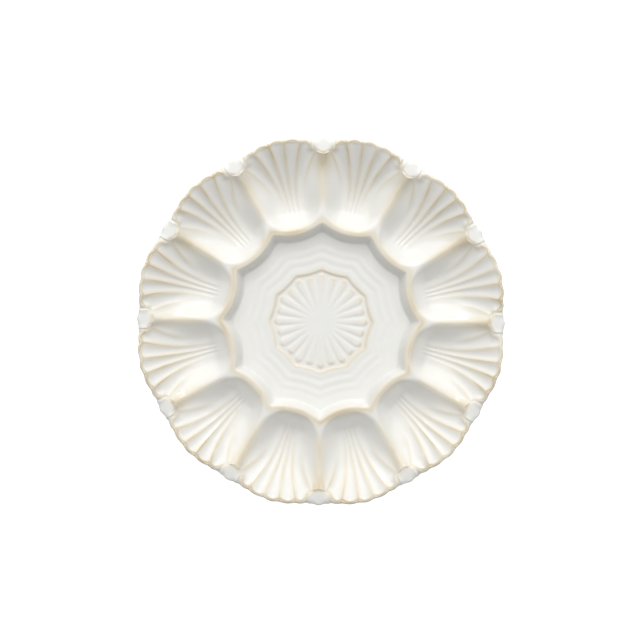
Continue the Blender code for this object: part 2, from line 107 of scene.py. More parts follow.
# Heights above the table, and how far the webs lie below the partitions
FLOOR_Z = 10.0 * MM
WELL_Z = 8.5 * MM
PARTITION_Z = 20.3 * MM
WEB_DROP = 0.1 * MM
WEB_FALL = 1.2 * MM
WEB_ROLL = 1.6
WEB_STEP_RUN = 3.5 * MM

# Slopes and roundings of the wells
WELL_RADIUS = 98.0 * MM
FAN_SLOPE = 0.55
FAN_ROUNDING = 7.5 * MM
INNER_SLOPE = 0.85
INNER_ROUNDING = 1.2 * MM
INNER_FOOT = 0.35
FLANK_FOOT = 0.30
FLANK_LEAST = 8.0 * MM
FLANK_HOLLOW = 0.07
CREST_BLEND = 5.0 * MM
CREST_ROUNDING = 0.07
CORNER_ROUNDING = 2.2
TIP_LIFT = 3.2 * MM
TIP_RUN = 10.0 * MM
CORNER_LIFT = 1.4 * MM
WALL_BEND = 4.5

# Flutes: six ridges fan out over each shell, with five hollows between them
FLUTES = 5
PITCH_START = 85.0 * MM
PITCH_SPAN = 63.0 * MM
PITCH_INNER = 3.2 * MM
PITCH_GROWTH = 9.4 * MM
PITCH_CURVE = 2.18
RIDGE_SPREAD = 0.04
RIDGE_MARGIN = 2.2 * MM
FLUTE_DEPTH = 1.5 * MM
FLUTE_CURVE = 0.74
FLUTE_ROUND = 1.5
FLUTE_START = 84.0 * MM
OUTER_FLUTE_START = 106.0 * MM
FLUTE_RUN = 9.0 * MM
OUTER_FLUTE_RUN = 16.0 * MM
FLUTE_END = 4.0 * MM
FLUTE_LIP = 0.42
FLANK_RUN = 20.0 * MM

# Rosette, its sunken border and the ripples of the middle
PETALS = 24
CENTRE_Z = 9.9 * MM
PETAL_START = 8.0 * MM
PETAL_FULL = 35.0 * MM
PETAL_END = 36.8 * MM
PETAL_HEIGHT = 0.75 * MM
PETAL_ROUND = 3.5 * MM
PETAL_CROWN = 0.7
PETAL_SHARE = 0.78
GROOVE_Z = 9.25 * MM
BORDER_FOOT = 37.8 * MM
BORDER_RADIUS = 40.6 * MM
RIPPLE_START = 43.0 * MM
RIPPLE_PITCH = 7.0 * MM
RIPPLE_HEIGHT = 0.35 * MM
RIPPLE_FADE = 57.0 * MM
RIPPLE_END = 64.0 * MM

# Back: hollows under the lip and the partitions keep the wall even
BACK_Z = 3.4 * MM
BACK_BLEND = 2.0 * MM
WELL_THICKNESS = 6.2 * MM
THINNING_START = 115.0 * MM
THINNING_END = 140.0 * MM
LIP_THICKNESS = 8.0 * MM
LIP_HOLLOW_HALF = 8.0 * MM
PARTITION_THICKNESS = 7.3 * MM
WEB_THICKNESS = 5.2 * MM
PARTITION_HOLLOW_HALF = 10.0 * MM

# Foot ring, and the glaze that stops short of its tread
FOOT_OUTER = 66.0 * MM
FOOT_INNER = 59.3 * MM
FOOT_FILLET = 1.6 * MM
FOOT_ROUNDING = 0.8 * MM
GLAZE_LINE_Z = 1.6 * MM
BASE_Z = 3.4 * MM

# Layers: how thick the glaze is, and the gap that parts it from the clay
GLAZE = 0.7 * MM
GAP = 0.3 * MM

# Columns of one sector and rows along them. A well's rows are shares of the way from lip to rim.
FLUTE_STEPS = 8
FAN = np.linspace(-OUTER_RIDGE, OUTER_RIDGE, FLUTES * FLUTE_STEPS + 1)
FLANK = np.array([2.6, 2.7, 2.8, 2.9, 3.0])
WEB = np.array([3.03, 3.06, 3.1, 3.15, 3.22, 3.3, 3.4])
INNER_COLUMNS = np.concatenate([[-SEAM_COLUMN], -FLANK[::-1], FAN, FLANK])
RIM_COLUMNS = np.concatenate([[-SEAM_COLUMN], -WEB[::-1], -FLANK[::-1], FAN, FLANK, WEB])
MIDDLE_COLUMNS = 24
BACK_COLUMNS = 20
PETAL_ROWS = np.linspace(2.0, 32.0, 16)
BORDER_ROWS = np.linspace(32.5, 41.0, 22)
RIPPLE_ROWS = np.linspace(42.0, 65.0, 27)
MIDDLE_ROWS = np.concatenate([PETAL_ROWS, BORDER_ROWS, RIPPLE_ROWS]) * MM
WALL_ROWS = np.linspace(0.0, 1.0, 22)[:-1]
INNER_ROWS = np.concatenate([np.linspace(0.0, 0.12, 13)[:-1], np.linspace(0.12, 0.885, 36)])
RIM_ROWS = np.concatenate([np.linspace(0.89, 0.93, 13), np.linspace(0.936, 1.0, 10)])
RIM_TURNS = np.linspace(0.0, 1.0, 15)[1:]
BACK_ROWS = np.concatenate([np.linspace(141.0, 90.0, 18), np.linspace(87.0, 69.0, 10)]) * MM
ARC_STEPS = 6
PLAN_STEPS = 6
ANGLE_SLACK = 1e-6

# The layers under the glaze are plainer, and most of them have fewer columns and rows
PLAIN_COLUMNS = np.array([-3.5, -3.0, -2.75, -2.5, -2.0, -1.0, 0.0, 1.0, 2.0, 2.5, 2.75, 3.0])
PLAIN_RIM_COLUMNS = np.array([-3.5, -2.5, -1.5, 0.0, 1.5, 2.5])
PLAIN_MIDDLE_COLUMNS = 4
PLAIN_MIDDLE_ROWS = np.array([12.0, 37.6, 40.5, 58.0, 64.0]) * MM
PLAIN_WALL_ROWS = [0.0, 0.12, 0.25, 0.5, 0.75]
PLAIN_ROWS = [0.0, 0.04, 0.08, 0.12, 0.16, 0.21, 0.26, 0.31,
              0.41, 0.51, 0.57, 0.63, 0.70, 0.77, 0.83, 0.88]
PLAIN_RIM_ROWS = [0.93, 1.0]
PLAIN_RIM_TURNS = [0.25, 0.5, 0.75, 1.0]
PLAIN_BACK_ROWS = np.concatenate([np.linspace(139.0, 92.0, 11), np.linspace(87.0, 69.0, 10)]) * MM
PLAIN_SETBACK = 2.0 * MM
PLAIN_LIFT = 1.2 * MM
PLAIN_WEB_DROP = 1.0 * MM

# Where the glaze runs thin: how much of the clay's tan shows on each edge, and how far it spreads
THIN = "thin"
RIDGE_TAN = 0.62
RIDGE_TAN_WIDTH = 1.5 * MM
RIDGE_TAN_START = 84.0 * MM
RIDGE_TAN_RUN = 60.0 * MM
SIDE_RIDGE_TAN = 0.46
SIDE_RIDGE_TAN_START = 104.0 * MM
SIDE_RIDGE_TAN_RUN = 30.0 * MM
CREST_TAN = 0.42
CREST_TAN_WIDTH = 2.6 * MM
# Painted shade: the partition's tan grows stronger towards the web's tip, where its slope lies in shade
TIP_TAN_AND_SHADE = 0.54
TIP_TAN_WIDTH = 6.0 * MM
CREST_TAN_START = 86.0 * MM
CREST_TAN_RUN = 18.0 * MM
LIP_TAN = 0.54
LIP_TAN_WIDTH = 3.4 * MM
RIM_TAN = 0.66
RIM_TAN_WIDTH = 1.4 * MM
RIM_TAN_PLACE = 0.2 * MM
EDGE_TAN = 0.34
EDGE_TAN_WIDTH = 2.6 * MM
WEB_TAN_RUN = 1.6 * MM
WEB_WHITE_RADIUS = 137.6 * MM
WEB_WHITE_CURVE = 0.105 / MM
BORDER_TAN = 0.42
BORDER_TAN_WIDTH = 1.8 * MM
PETAL_TAN = 0.46
PETAL_TAN_WIDTH = 1.6 * MM
STEM_TAN = 0.12
FAN_TAN = 0.05
FAN_TAN_START = 82.0 * MM
FAN_TAN_RUN = 15.0 * MM

# Octaves of the noises
SOFT = 2.0
CLOUDY = 3.0
GRITTY = 4.0

# Glaze: its two whites, its tan where it is thin, and the brown where it is thinnest, partly real and partly
# painted shade along the ridges
GLAZE_WHITE = "#ebeae6"
GLAZE_SHADE = "#e6e6e1"
GLAZE_TAN = "#d9c8a0"
GLAZE_BROWN_AND_SHADE = "#a2865f"
GLAZE_CLOUD = 9.0 * MM
GLAZE_PATCH = 28.0 * MM
PATCH_RANGE = (0.3, 0.7)
TAN_RANGE = (0.7, 1.3)
BROWN_AND_SHADE_START = 0.5
BROWN_AND_SHADE_FULL = 1.0
BROWN_AND_SHADE_MOST = 0.6
GLAZE_WAVE = 14.0 * MM
WAVE_STRENGTH = 0.25
WAVE_HEIGHT = 0.1 * MM
GLAZE_ROUGHNESS = 0.09
REFRACTION = 1.5

# Bare clay of the foot
CLAY_BUFF = "#c2a886"
CLAY_SHADE = "#b39470"
CLAY_GRIT = "#8d7150"
CLAY_CLOUD = 12.0 * MM
GRIT_SIZE = 0.8 * MM
GRIT_RANGE = (0.55, 0.75)
GRIT_STRENGTH = 0.4
GRIT_HEIGHT = 0.1 * MM
CLAY_ROUGHNESS = 0.85

# Camera: the frame is this wide at the height of the rim, and the plate is turned a little in it
FRAME_WIDTH = 0.518
CAMERA_HEIGHT = 2.5
CAMERA_TURN = math.radians(0.75)
CAMERA_X = -0.8 * MM
CAMERA_Y = 1.0 * MM
SENSOR = 36.0

# White floor, and a white surround that is brightest a little behind overhead
WHITE = "#ffffff"
PAPER = "#f4f4f3"
FLOOR_SIZE = 8.0
FLOOR_GLOW = 0.7
SURROUND_TILT = math.radians(9.0)
SURROUND_RANGE = (0.25, 0.9)
SURROUND_LIGHT = (0.08, 1.1)

# Soft lights behind the plate: place, width and height in metres, and watts
WIDE_SOFTBOX = ((0.0, 1.41, 0.75), 4.0, 1.3, 23.5)
SMALL_SOFTBOX = ((0.0, 1.36, 0.85), 0.3, 0.15, 2.0)


def smooth_max(a, b, blend):
    """The larger of two heights, with the corner between them rounded."""
    return 0.5 * (a + b + np.sqrt((a - b) ** 2 + blend ** 2))


def smooth_min(a, b, blend):
    return -smooth_max(-a, -b, blend)


def smooth_step(value):
    t = np.clip(value, 0.0, 1.0)
    return t * t * (3.0 - 2.0 * t)


def rounded_slope(distance, slope, rounding):
    """Rise of a slope that starts level and straightens out."""
    return np.sqrt((slope * distance) ** 2 + rounding ** 2) - rounding


def arc_radius(phi, notch):
    """Arcs that bulge inwards on each shell's axis and meet on the partition lines in round notches."""
    angle = HALF_SECTOR - np.sqrt((HALF_SECTOR - np.abs(phi)) ** 2 + notch ** 2)
    centre = LIP_RADIUS + LIP_ARC
    return centre * np.cos(angle) - np.sqrt(LIP_ARC ** 2 - (centre * np.sin(angle)) ** 2)


def lip_radius(phi):
    return arc_radius(phi, LIP_NOTCH)


def star_growth(mid, phi):
    """How much further out a star-shaped ring of the middle lies here than on a shell's axis."""
    outer = smooth_step((mid - RIPPLE_FADE) / (FLOOR_RADIUS - RIPPLE_FADE))
    cusp = STAR_CUSP + (FLOOR_CUSP - STAR_CUSP) * outer
    scallop = (arc_radius(phi, STAR_NOTCH) - LIP_RADIUS) / (arc_radius(HALF_SECTOR, 0.0) - LIP_RADIUS)
    return 1.0 + cusp * scallop


def star_radius(mid, phi):
    return mid * star_growth(mid, phi)


def ridge_pitch(r):
    share = np.clip((r - PITCH_START) / PITCH_SPAN, 0.0, None)
    return PITCH_INNER + PITCH_GROWTH * share ** PITCH_CURVE


def ridge_place(column, r):
    """Distance of a column of the fan from the shell's axis. The outer ones spread out more."""
    return column * ridge_pitch(r) * (1.0 + RIDGE_SPREAD * column ** 2)


def web_half_width(r):
    share = np.clip((r - WEB_TIP_RADIUS) / (CORNER_RADIUS - WEB_TIP_RADIUS), 0.0, 1.0)
    flare = np.sin(0.5 * math.pi * share) ** WEB_FLARE
    return PARTITION_HALF_WIDTH + (WEB_HALF_WIDTH - PARTITION_HALF_WIDTH) * flare


def shell_edge(r):
    """Distance of a shell's side edge from its axis, along the arc at this radius."""
    return r * HALF_SECTOR - web_half_width(r)


def outer_ridge_place(r):
    """The outermost ridge runs into the shell's side edge near the rim."""
    return np.minimum(ridge_place(OUTER_RIDGE, r), shell_edge(r) - RIDGE_MARGIN)


def web_share(column):
    """0 on a shell's side edge, 1 on the partition line."""
    return np.clip((np.abs(column) - EDGE_COLUMN) / (SEAM_COLUMN - EDGE_COLUMN), 0.0, 1.0)


def column_angle(column, r):
    """Angle of a column from the shell's axis at this radius."""
    size = np.abs(column)
    ridge = outer_ridge_place(r)
    next_ridge = ridge_place(NEXT_RIDGE, r)
    edge = shell_edge(r)
    flank_share = (size - OUTER_RIDGE) / (EDGE_COLUMN - OUTER_RIDGE)
    outer_fan = next_ridge + (size - NEXT_RIDGE) * (ridge - next_ridge)
    fan = np.where(size <= NEXT_RIDGE, ridge_place(size, r), outer_fan)
    flank = ridge + flank_share * (edge - ridge)
    web = edge + web_share(column) * (r * HALF_SECTOR - edge)
    offset = np.where(size <= OUTER_RIDGE, fan, np.where(size <= EDGE_COLUMN, flank, web))
    return np.sign(column) * offset / r


def column_at(r, phi):
    """The column that passes through a point: column_angle the other way round, without the webs."""
    offset = np.abs(phi) * r
    ridge = outer_ridge_place(r)
    next_ridge = ridge_place(NEXT_RIDGE, r)
    flank_share = (offset - ridge) / (shell_edge(r) - ridge)
    flank = OUTER_RIDGE + (EDGE_COLUMN - OUTER_RIDGE) * np.clip(flank_share, 0.0, 1.0)
    outer_fan = NEXT_RIDGE + (offset - next_ridge) / (ridge - next_ridge)
    fan = offset / ridge_pitch(r)
    for _ in range(PLAN_STEPS):
        fan = offset / ridge_pitch(r) / (1.0 + RIDGE_SPREAD * np.minimum(fan, NEXT_RIDGE) ** 2)
    in_fan = np.where(offset <= next_ridge, fan, outer_fan)
    return np.sign(phi) * np.where(offset <= ridge, in_fan, flank)


def flute_section(column):
    """1 in the middle of a flute, falling to 0 on the ridges beside it and outside the fan."""
    beside = 2.0 * (column - np.round(column))
    section = np.clip(1.0 - beside ** 2, 0.0, None) ** FLUTE_ROUND
    return np.where(np.abs(column) <= OUTER_RIDGE, section, 0.0)


def face_end(column, lobe):
    """Radius where the face turns over into the rim: five lobes on each shell, then the corner."""
    ridges = RIM_FACE - LOBE_BULGE
    bend = (ridges - CORNER_RADIUS) * np.minimum(np.abs(column) / EDGE_COLUMN, 1.0) ** CORNER_CURVE
    return ridges - bend + LOBE_BULGE * lobe


def flute_end(column):
    """Radius where a flute ends in a round arch between its two ridges."""
    arch = FLUTE_END * (1.0 - np.sqrt(flute_section(column)))
    return np.where(np.abs(column) <= OUTER_RIDGE, face_end(column, 1.0) - arch, face_end(column, 0.0))


def flute_hollow(r, column):
    """Share of a flute's depth taken out: hollow between the ridges, scooped up to its end at the rim."""
    section = flute_section(column)
    along = np.clip(1.0 + (r - face_end(column, 1.0)) / FLUTE_END, 0.0, None)
    return np.maximum(section - along ** 2, FLUTE_LIP * section)


def rim_half_width(column):
    """The rounded rim spreads wider on the shells' corners."""
    corner = np.minimum(np.abs(column) / EDGE_COLUMN, 1.0) ** CORNER_SPREAD
    return RIM_HALF_WIDTH + (CORNER_HALF_WIDTH - RIM_HALF_WIDTH) * corner


def web_end(column):
    return WEB_END_RADIUS + (WEB_RADIUS - WEB_END_RADIUS) * np.sin(0.5 * math.pi * web_share(column))


def fan_height(r):
    return WELL_Z + rounded_slope(np.clip(r - WELL_RADIUS, 0.0, None), FAN_SLOPE, FAN_ROUNDING)


def crest_height(r):
    """Height of the partition, and past the web's tip of the shell's side edge."""
    outer = np.clip((r - WEB_TIP_RADIUS) / (CORNER_RADIUS - WEB_TIP_RADIUS), 0.0, 1.0)
    lift = TIP_LIFT + (CORNER_LIFT - TIP_LIFT) * outer
    return smooth_max(PARTITION_Z, fan_height(r) + lift, CREST_BLEND)


def bowl_height(r, phi):
    """The well without its flutes: flanks, inner wall and web tips rise from the fan up to the crest."""
    fan = fan_height(r)
    crest = crest_height(r)
    to_line = np.maximum(r * HALF_SECTOR - PARTITION_HALF_WIDTH - np.abs(phi) * r, 0.0)
    flank_width = np.maximum(r * HALF_SECTOR - outer_ridge_place(r), FLANK_LEAST)
    flank = smooth_max(0.0, 1.0 - to_line / flank_width, FLANK_FOOT)
    aside = np.minimum(to_line / (WEB_HALF_WIDTH - PARTITION_HALF_WIDTH), 1.0)
    web_inner = 2.0 / math.pi * np.arcsin(aside ** (1.0 / WEB_FLARE))
    to_web = WEB_TIP_RADIUS + (CORNER_RADIUS - WEB_TIP_RADIUS) * web_inner - r
    tip = smooth_max(0.0, 1.0 - to_web / TIP_RUN, FLANK_FOOT) * (1.0 - smooth_step(aside))
    inner_fall = rounded_slope(r - lip_radius(phi), INNER_SLOPE, INNER_ROUNDING)
    inner = smooth_max(0.0, 1.0 - inner_fall / (PARTITION_Z - WELL_Z), INNER_FOOT)
    sides = flank ** CORNER_ROUNDING + inner ** CORNER_ROUNDING + tip ** CORNER_ROUNDING
    walls = sides ** (1.0 / CORNER_ROUNDING)
    return fan + (crest - fan) * smooth_min(walls, 1.0, CREST_ROUNDING)


def web_height(r):
    share = np.clip((r - WEB_TIP_RADIUS) / (WEB_RADIUS - WEB_TIP_RADIUS), 0.0, None)
    return crest_height(np.minimum(r, WEB_TIP_RADIUS)) - WEB_DROP - WEB_FALL * share ** WEB_ROLL


def flute_depth(r, column):
    start = np.where(np.abs(np.round(column)) < OUTER_FLUTE, FLUTE_START, OUTER_FLUTE_START)
    run = np.where(np.abs(np.round(column)) < OUTER_FLUTE, FLUTE_RUN, OUTER_FLUTE_RUN)
    full = FLUTE_DEPTH * (ridge_pitch(r) / (PITCH_INNER + PITCH_GROWTH)) ** FLUTE_CURVE
    return full * smooth_step((r - start) / run)


def flank_hollow(r, column):
    """The scoop between the outermost ridge and the crest."""
    share = np.clip((np.abs(column) - OUTER_RIDGE) / (EDGE_COLUMN - OUTER_RIDGE), 0.0, 1.0)
    width = shell_edge(r) - outer_ridge_place(r)
    scoop = FLANK_HOLLOW * width * 4.0 * share * (1.0 - share)
    return scoop * smooth_step((r - OUTER_FLUTE_START) / FLANK_RUN)


def well_height(r, phi, column, hollow):
    """The face of a well, its partitions and webs. hollow is the share of the flutes' depth taken out."""
    past_edge = np.abs(phi) * r - shell_edge(r)
    bowl = bowl_height(r, np.minimum(np.abs(phi), shell_edge(r) / r))
    web = web_height(r) + (bowl - web_height(r)) * (1.0 - smooth_step(past_edge / WEB_STEP_RUN))
    outside = np.where(r > WEB_TIP_RADIUS, web, bowl_height(r, phi))
    roll = EDGE_ROLL * np.clip(1.0 + (r - face_end(column, 1.0)) / EDGE_RUN, 0.0, None) ** 2
    hollows = flute_depth(r, column) * hollow + flank_hollow(r, column) + roll
    return np.where(past_edge > 0.0, outside, bowl - hollows)


def petal_crown(phi):
    """1 along the middle of a petal, falling to 0 in the flat grooves beside it."""
    petal_angle = 2.0 * math.pi / PETALS
    across = 2.0 * (phi / petal_angle - np.round(phi / petal_angle))
    return np.clip(1.0 - (across / PETAL_SHARE) ** 2, 0.0, None)


def middle_height(mid, phi, petals):
    """The rosette, its sunken border and the ripples, by radius on a shell's axis and by angle."""
    full = smooth_step((mid - PETAL_START) / (PETAL_FULL - PETAL_START))
    ground = CENTRE_Z - (CENTRE_Z - GROOVE_Z) * full
    along = np.clip((mid - (PETAL_END - PETAL_ROUND)) / PETAL_ROUND, 0.0, None)
    petal = np.clip(petal_crown(phi) - along ** 2, 0.0, None) ** PETAL_CROWN
    rosette = ground + petals * PETAL_HEIGHT * full * petal
    ripple_fade = 1.0 - smooth_step((mid - RIPPLE_FADE) / (RIPPLE_END - RIPPLE_FADE))
    wave = np.cos(2.0 * math.pi * np.clip(mid - RIPPLE_START, 0.0, None) / RIPPLE_PITCH)
    floor = FLOOR_Z + 0.5 * RIPPLE_HEIGHT * wave * ripple_fade
    border = smooth_step((mid - BORDER_FOOT) / (BORDER_RADIUS - BORDER_FOOT))
    return rosette + (floor - rosette) * border


def wall_height(share, phi):
    """The wall of the middle, a share of the way out to the lip: level at both ends, steep between."""
    lip = bowl_height(lip_radius(phi), phi)
    return FLOOR_Z + (lip - FLOOR_Z) * (1.0 - (1.0 - share ** 2) ** WALL_BEND)


def bell(distance):
    """1 at no distance, falling smoothly to 0 at a distance of 1."""
    return 0.5 + 0.5 * np.cos(math.pi * np.clip(np.abs(distance), 0.0, 1.0))


def back_height(r, phi):
    """The back: twelve rounded well backs, parted by hollows under the partitions and the lip."""
    thinning = smooth_step((r - THINNING_START) / (THINNING_END - THINNING_START))
    well_wall = WELL_THICKNESS + (RIM_THICKNESS - WELL_THICKNESS) * thinning
    seam_wall = PARTITION_THICKNESS + (WEB_THICKNESS - PARTITION_THICKNESS) * thinning
    shell = smooth_max(BACK_Z, fan_height(r) - well_wall, BACK_BLEND)
    seam = np.where(r > WEB_TIP_RADIUS, web_height(r), crest_height(r)) - seam_wall
    past_lip = (r - lip_radius(phi)) / LIP_HOLLOW_HALF
    to_seam = r * (HALF_SECTOR - np.abs(phi)) / PARTITION_HOLLOW_HALF
    back = shell + (seam - shell) * bell(to_seam) * bell(np.minimum(past_lip, 0.0))
    under_lip = np.maximum(PARTITION_Z - LIP_THICKNESS - back, 0.0)
    return back + under_lip * bell(past_lip)


def line_share(distance, width):
    """1 on a line, falling softly to nothing beside it."""
    return np.exp(-(distance / width) ** 2)


def thin_on_shells(r, phi):
    """Tan on the ridges, the partitions and the flutes' ends, and a breath of it all over the fan."""
    offset = np.abs(phi) * r
    ridges = np.zeros_like(r)
    for column in (INNER_RIDGE, NEXT_RIDGE):
        ridges = np.maximum(ridges, line_share(offset - ridge_place(column, r), RIDGE_TAN_WIDTH))
    ridges *= RIDGE_TAN * smooth_step((r - RIDGE_TAN_START) / RIDGE_TAN_RUN)
    side_ridge = SIDE_RIDGE_TAN * line_share(offset - outer_ridge_place(r), RIDGE_TAN_WIDTH)
    side_ridge *= smooth_step((r - SIDE_RIDGE_TAN_START) / SIDE_RIDGE_TAN_RUN)
    # Painted shade: towards the web's tip the partition's tan grows stronger and stands in for the shade
    # there
    tip = smooth_step((r - WELL_RADIUS) / (WEB_TIP_RADIUS - WELL_RADIUS))
    crest_width = CREST_TAN_WIDTH + (TIP_TAN_WIDTH - CREST_TAN_WIDTH) * tip
    crest = (CREST_TAN + (TIP_TAN_AND_SHADE - CREST_TAN) * tip) * line_share(r * HALF_SECTOR - offset, crest_width)
    crest *= smooth_step((r - CREST_TAN_START) / CREST_TAN_RUN)
    column = column_at(r, phi)
    flute_ends = RIM_TAN * line_share(r - flute_end(column) - RIM_TAN_PLACE, RIM_TAN_WIDTH)
    flute_ends *= 1.0 - smooth_step((np.abs(column) - OUTER_RIDGE) / (EDGE_COLUMN - OUTER_RIDGE))
    fan = FAN_TAN * smooth_step((r - FAN_TAN_START) / FAN_TAN_RUN)
    in_wells = smooth_step((r - lip_radius(phi)) / LIP_TAN_WIDTH)
    return (np.maximum.reduce([ridges, side_ridge, crest, flute_ends]) + fan) * in_wells


def thin_on_side_edges(r, phi):
    """Tan on the shells' side edges, from the web's tip to the corner."""
    edges = EDGE_TAN * line_share(np.abs(phi) * r - shell_edge(r), EDGE_TAN_WIDTH)
    edges *= smooth_step((r - WEB_TIP_RADIUS) / EDGE_TAN_WIDTH)
    return edges * (1.0 - smooth_step((r - CORNER_RADIUS) / EDGE_TAN_WIDTH))


def thin_on_rosette(r, phi):
    """Tan on the border of the rosette and on its petals, most of it on their ends."""
    mid = r
    for _ in range(PLAN_STEPS):
        mid = r / star_growth(mid, phi)
    border = BORDER_TAN * line_share(mid - BORDER_RADIUS + BORDER_TAN_WIDTH / 2, BORDER_TAN_WIDTH)
    stems = STEM_TAN * smooth_step((mid - PETAL_START) / (PETAL_FULL - PETAL_START)) * (mid < PETAL_END)
    ends = PETAL_TAN * line_share(mid - PETAL_END + PETAL_TAN_WIDTH, PETAL_TAN_WIDTH)
    return np.maximum(border, np.maximum(stems, ends) * petal_crown(phi))


def thin_glaze(points):
    """Share of the clay's tan that shows through the glaze on the face and the rim. Webs stay white."""
    r = np.maximum(np.hypot(points[:, 0], points[:, 1]), MM)
    phi = np.arctan2(points[:, 1], points[:, 0]) % SECTOR - HALF_SECTOR
    to_line = r * HALF_SECTOR - np.abs(phi) * r
    white_web = WEB_WHITE_RADIUS + WEB_WHITE_CURVE * to_line ** 2
    on_shell = 1.0 - smooth_step((r - white_web) / WEB_TAN_RUN)
    shells = np.maximum(thin_on_shells(r, phi), thin_on_side_edges(r, phi)) * on_shell
    lips = LIP_TAN * line_share(r - lip_radius(phi), LIP_TAN_WIDTH)
    return np.maximum.reduce([shells, lips, thin_on_rosette(r, phi)])


def ring(radius, phi, height):
    """A closed ring: one sector's points, repeated in every sector."""
    axes = (np.arange(WELLS)[:, None] + 0.5) * SECTOR
    angle = (axes + phi).ravel()
    r = np.tile(np.broadcast_to(radius, np.shape(phi)), WELLS)
    z = np.tile(np.broadcast_to(height, np.shape(phi)), WELLS)
    return np.column_stack([r * np.cos(angle), r * np.sin(angle), z])


def even_angles(count):
    """Angles of one sector, from a partition line onwards."""
    return -HALF_SECTOR + SECTOR * np.arange(count) / count


def pole(height):
    return np.array([[0.0, 0.0, height]])


def middle_ring(mid, count, petals):
    phi = even_angles(count)
    return ring(star_radius(mid, phi), phi, middle_height(mid, phi, petals))


def well_plan(columns, share, end):
    """Radius and angle of one ring of the wells, at a share of the way from the lip to the face's end."""
    r = LIP_RADIUS + share * (end - LIP_RADIUS)
    for _ in range(PLAN_STEPS):
        phi = column_angle(columns, r)
        lip = lip_radius(phi)
        r = lip + share * (end - lip)
    return r, phi


def wall_ring(columns, share):
    phi = well_plan(columns, 0.0, LIP_RADIUS)[1]
    floor_edge = star_radius(FLOOR_RADIUS, phi)
    return ring(floor_edge + share * (lip_radius(phi) - floor_edge), phi, wall_height(share, phi))


def well_ring(columns, share):
    r, phi = well_plan(columns, share, face_end(columns, flute_section(columns)))
    return ring(r, phi, well_height(r, phi, columns, flute_hollow(r, columns)))


def rounded_edge(r, phi, z, width, start, turn, lift):
    """A point on the rounded rim: turn goes from 0 on the face to 1 on the back, lifted by so much."""
    angle = start + turn * (-0.5 * math.pi - start)
    back = back_height(r - width * np.cos(start), phi) + lift
    half = (z - back) / (1.0 + np.sin(start))
    out = width * (np.cos(angle) - np.cos(start))
    return r + out, z + half * (np.sin(angle) - np.sin(start))


def rim_ring(columns, turn):
    """Over the rim. A web carries on outwards for the first half of the turn, then turns over itself."""
    r, phi = well_plan(columns, 1.0, face_end(columns, flute_section(columns)))
    z = well_height(r, phi, columns, flute_hollow(r, columns))
    shell_r, shell_z = rounded_edge(r, phi, z, rim_half_width(columns), RIM_START, turn, 0.0)
    web_r = r + (web_end(columns) - r) * min(2.0 * turn, 1.0)
    web_phi = column_angle(columns, web_r)
    web_z = well_height(web_r, web_phi, columns, 0.0)
    web_turn = max(2.0 * turn - 1.0, 0.0)
    web_r, web_z = rounded_edge(web_r, web_phi, web_z, RIM_HALF_WIDTH, WEB_START, web_turn, 0.0)
    on_web = smooth_step(web_share(columns) / WEB_BLEND)
    angle = phi + (web_phi - phi) * on_web
    return ring(shell_r + (web_r - shell_r) * on_web, angle, shell_z + (web_z - shell_z) * on_web)


def plain_well_ring(columns, share):
    r, phi = well_plan(columns, share, face_end(columns, 0.0))
    in_fan = np.where(np.abs(columns) <= OUTER_RIDGE, 1.0, 0.0)
    return ring(r, phi, well_height(r, phi, columns, in_fan))


def plain_rim_ring(columns, share, turn):
    """The outer wells and the rim without lobes, ridges and raised side edges."""
    on_web = np.abs(columns) > EDGE_COLUMN
    end = np.where(on_web, web_end(columns) - PLAIN_SETBACK, face_end(columns, 0.0))
    r, phi = well_plan(columns, share, end)
    z = np.where(on_web, web_height(r) - PLAIN_WEB_DROP, fan_height(r) - flute_depth(r, columns))
    start = np.where(on_web, WEB_START, RIM_START)
    r, z = rounded_edge(r, phi, z, RIM_HALF_WIDTH, start, turn, PLAIN_LIFT)
    return ring(r, phi, z)


def back_ring(radius):
    phi = even_angles(BACK_COLUMNS)
    return ring(radius, phi, back_height(radius, phi))


def round_ring(radius, height):
    return ring(radius, even_angles(BACK_COLUMNS), height)


def quarter_round(centre_r, centre_z, radius, start, end):
    """Rings along a rounded edge between two angles in degrees: 0 is straight outwards, 90 straight up."""
    turns = np.radians(np.linspace(start, end, ARC_STEPS))
    return [round_ring(centre_r + radius * np.cos(t), centre_z + radius * np.sin(t)) for t in turns]


def ring_angles(points):
    """Angle of each point from the first one, which lies on +X, and of the first again after a full turn."""
    angle = (np.arctan2(points[:, 1], points[:, 0]) + ANGLE_SLACK) % (2.0 * math.pi)
    return np.append(angle, 2.0 * math.pi)


def joined(first, second, start, other):
    """Faces between two rings, whose points start at these indexes. Unequal rings are zipped by angle."""
    a_count = len(first)
    b_count = len(second)
    if a_count == 1:
        return [(start, other + k, other + (k + 1) % b_count) for k in range(b_count)]
    if b_count == 1:
        return [(start + k, other, start + (k + 1) % a_count) for k in range(a_count)]
    if a_count == b_count:
        return [(start + k, other + k, other + (k + 1) % b_count, start + (k + 1) % a_count)
                for k in range(a_count)]
    a_angle = ring_angles(first)
    b_angle = ring_angles(second)
    faces = []
    a = 0
    b = 0
    while a < a_count or b < b_count:
        if b == b_count or (a < a_count and a_angle[a + 1] < b_angle[b + 1]):
            faces.append((start + a, other + b % b_count, start + (a + 1) % a_count))
            a += 1
        else:
            faces.append((start + a % a_count, other + b, other + (b + 1) % b_count))
            b += 1
    return faces


def ring_faces(rings):
    starts = np.concatenate([[0], np.cumsum([len(points) for points in rings])])
    faces = []
    for index in range(len(rings) - 1):
        faces += joined(rings[index], rings[index + 1], int(starts[index]), int(starts[index + 1]))
    return faces


def sunk(rings, depth):
    """The same rings moved in by a depth, square to the surface they span."""
    points = np.concatenate(rings)
    normals = np.zeros_like(points)
    for face in ring_faces(rings):
        corners = points[list(face)]
        normals[list(face)] += np.cross(corners[2] - corners[0], corners[-1] - corners[1])
    normals /= np.linalg.norm(normals, axis=1)[:, None]
    moved = points - depth * normals
    return np.split(moved, np.cumsum([len(points) for points in rings])[:-1])


